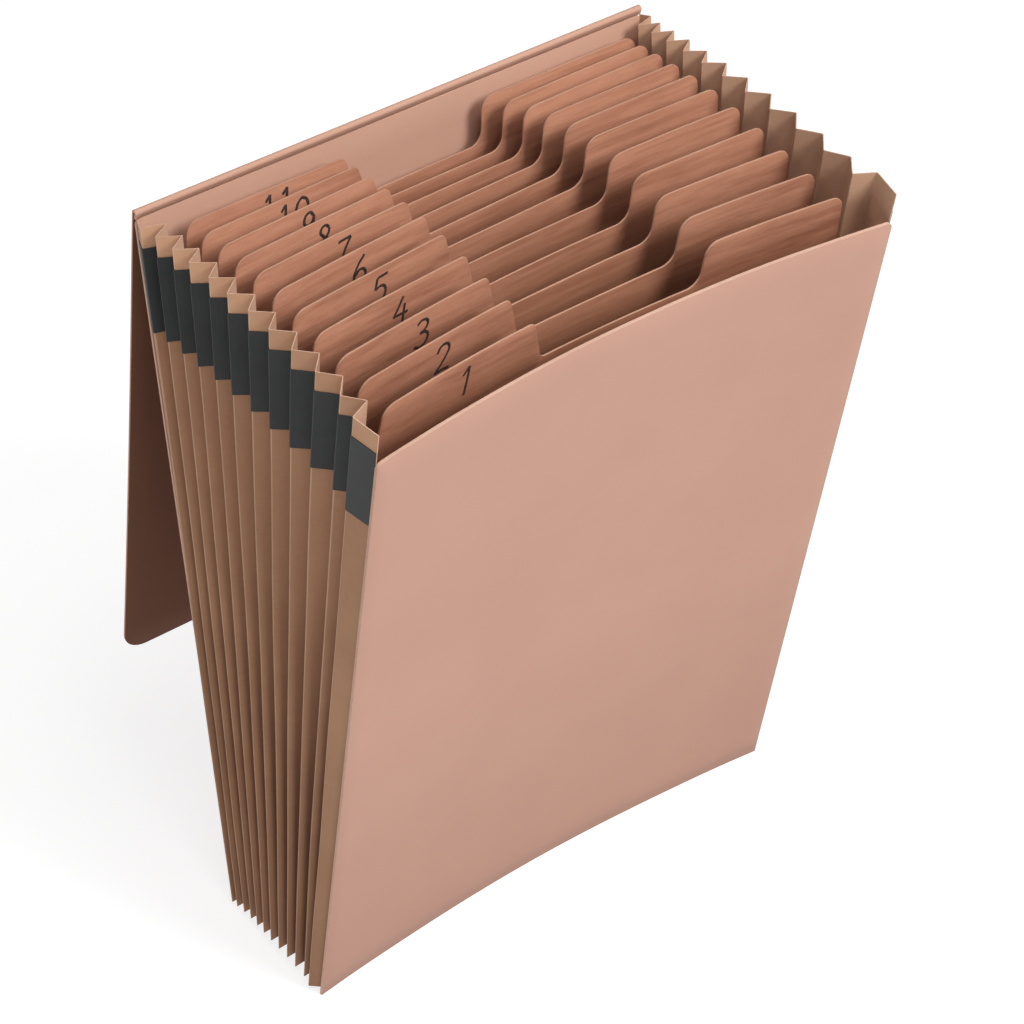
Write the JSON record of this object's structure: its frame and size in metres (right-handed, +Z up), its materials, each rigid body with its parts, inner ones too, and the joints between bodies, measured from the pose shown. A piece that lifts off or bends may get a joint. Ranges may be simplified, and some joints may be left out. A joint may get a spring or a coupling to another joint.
{
  "type": "accordion file organizer",
  "caption": "Expanding accordion file standing open as a fan: bowed front cover, tabbed dividers, pleated gusset round the sides and bottom with taped tops, flap hung behind the back.",
  "frame": {"origin": "on the floor, under the middle of the whole file's box", "axes": "+Z up the file towards the pocket mouths, -Y towards the front cover, +X to the right when facing the front cover"},
  "size_m": [0.2404, 0.1818, 0.3333],
  "materials": {
    "cover_board": "mottled terracotta pressboard, matt",
    "divider_board": "reddish brown card, matt, with paler cut edges",
    "gusset_paper": "tan kraft paper folded into pleats",
    "binding_tape": "dark woven book cloth, slightly shiny"
  },
  "bodies": {
    "back": {"back_cover": "cover_board", "gusset_12": "gusset_paper", "tape_left_12": "binding_tape", "tape_right_12": "binding_tape"},
    "leaf_11": {"divider_11": "divider_board", "gusset_11": "gusset_paper", "tape_left_11": "binding_tape", "tape_right_11": "binding_tape"},
    "leaf_10": {"divider_10": "divider_board", "gusset_10": "gusset_paper", "tape_left_10": "binding_tape", "tape_right_10": "binding_tape"},
    "leaf_09": {"divider_09": "divider_board", "gusset_09": "gusset_paper", "tape_left_09": "binding_tape", "tape_right_09": "binding_tape"},
    "leaf_08": {"divider_08": "divider_board", "gusset_08": "gusset_paper", "tape_left_08": "binding_tape", "tape_right_08": "binding_tape"},
    "leaf_07": {"divider_07": "divider_board", "gusset_07": "gusset_paper", "tape_left_07": "binding_tape", "tape_right_07": "binding_tape"},
    "leaf_06": {"divider_06": "divider_board", "gusset_06": "gusset_paper", "tape_left_06": "binding_tape", "tape_right_06": "binding_tape"},
    "leaf_05": {"divider_05": "divider_board", "gusset_05": "gusset_paper", "tape_left_05": "binding_tape", "tape_right_05": "binding_tape"},
    "leaf_04": {"divider_04": "divider_board", "gusset_04": "gusset_paper", "tape_left_04": "binding_tape", "tape_right_04": "binding_tape"},
    "leaf_03": {"divider_03": "divider_board", "gusset_03": "gusset_paper", "tape_left_03": "binding_tape", "tape_right_03": "binding_tape"},
    "leaf_02": {"divider_02": "divider_board", "gusset_02": "gusset_paper", "tape_left_02": "binding_tape", "tape_right_02": "binding_tape"},
    "leaf_01": {"divider_01": "divider_board", "gusset_01": "gusset_paper", "tape_left_01": "binding_tape", "tape_right_01": "binding_tape"},
    "front": {"front_cover": "cover_board"},
    "closing_flap": {"flap": "cover_board"}
  },
  "joints": [
    {"name": "pocket_12", "type": "hinge", "parent": "back", "child": "leaf_11", "pos_m": [0, 0.0132, 0.00206], "axis": [1, 0, 0], "range_deg": [-1.01, 1.55], "deforming": ["gusset_12", "tape_left_12", "tape_right_12"]},
    {"name": "pocket_11", "type": "hinge", "parent": "leaf_11", "child": "leaf_10", "pos_m": [0, 0.00878, 0.00256], "axis": [1, 0, 0], "range_deg": [-1.05, 1.48], "deforming": ["gusset_11", "tape_left_11", "tape_right_11"]},
    {"name": "pocket_10", "type": "hinge", "parent": "leaf_10", "child": "leaf_09", "pos_m": [0, 0.00417, 0.003], "axis": [1, 0, 0], "range_deg": [-1.09, 1.41], "deforming": ["gusset_10", "tape_left_10", "tape_right_10"]},
    {"name": "pocket_09", "type": "hinge", "parent": "leaf_09", "child": "leaf_08", "pos_m": [0, -0.00061, 0.00336], "axis": [1, 0, 0], "range_deg": [-1.13, 1.34], "deforming": ["gusset_09", "tape_left_09", "tape_right_09"]},
    {"name": "pocket_08", "type": "hinge", "parent": "leaf_08", "child": "leaf_07", "pos_m": [0, -0.00558, 0.00364], "axis": [1, 0, 0], "range_deg": [-1.17, 1.27], "deforming": ["gusset_08", "tape_left_08", "tape_right_08"]},
    {"name": "pocket_07", "type": "hinge", "parent": "leaf_07", "child": "leaf_06", "pos_m": [0, -0.01072, 0.00382], "axis": [1, 0, 0], "range_deg": [-1.21, 1.2], "deforming": ["gusset_07", "tape_left_07", "tape_right_07"]},
    {"name": "pocket_06", "type": "hinge", "parent": "leaf_06", "child": "leaf_05", "pos_m": [0, -0.01603, 0.00389], "axis": [1, 0, 0], "range_deg": [-1.25, 1.13], "deforming": ["gusset_06", "tape_left_06", "tape_right_06"]},
    {"name": "pocket_05", "type": "hinge", "parent": "leaf_05", "child": "leaf_04", "pos_m": [0, -0.02151, 0.00385], "axis": [1, 0, 0], "range_deg": [-1.29, 1.06], "deforming": ["gusset_05", "tape_left_05", "tape_right_05"]},
    {"name": "pocket_04", "type": "hinge", "parent": "leaf_04", "child": "leaf_03", "pos_m": [0, -0.02717, 0.00368], "axis": [1, 0, 0], "range_deg": [-1.33, 0.99], "deforming": ["gusset_04", "tape_left_04", "tape_right_04"]},
    {"name": "pocket_03", "type": "hinge", "parent": "leaf_03", "child": "leaf_02", "pos_m": [0, -0.03299, 0.00336], "axis": [1, 0, 0], "range_deg": [-1.37, 0.92], "deforming": ["gusset_03", "tape_left_03", "tape_right_03"]},
    {"name": "pocket_02", "type": "hinge", "parent": "leaf_02", "child": "leaf_01", "pos_m": [0, -0.03896, 0.0029], "axis": [1, 0, 0], "range_deg": [-1.41, 0.85], "deforming": ["gusset_02", "tape_left_02", "tape_right_02"]},
    {"name": "pocket_01", "type": "hinge", "parent": "leaf_01", "child": "front", "pos_m": [0, -0.04551, 0.00222], "axis": [1, 0, 0], "range_deg": [-1.64, 0.41], "deforming": ["gusset_01", "tape_left_01", "tape_right_01"]},
    {"name": "flap_fold", "type": "hinge", "parent": "back", "child": "closing_flap", "pos_m": [0, 0.05863, 0.33055], "axis": [1, 0, 0], "range_deg": [-14.4, 250]}
  ]
}
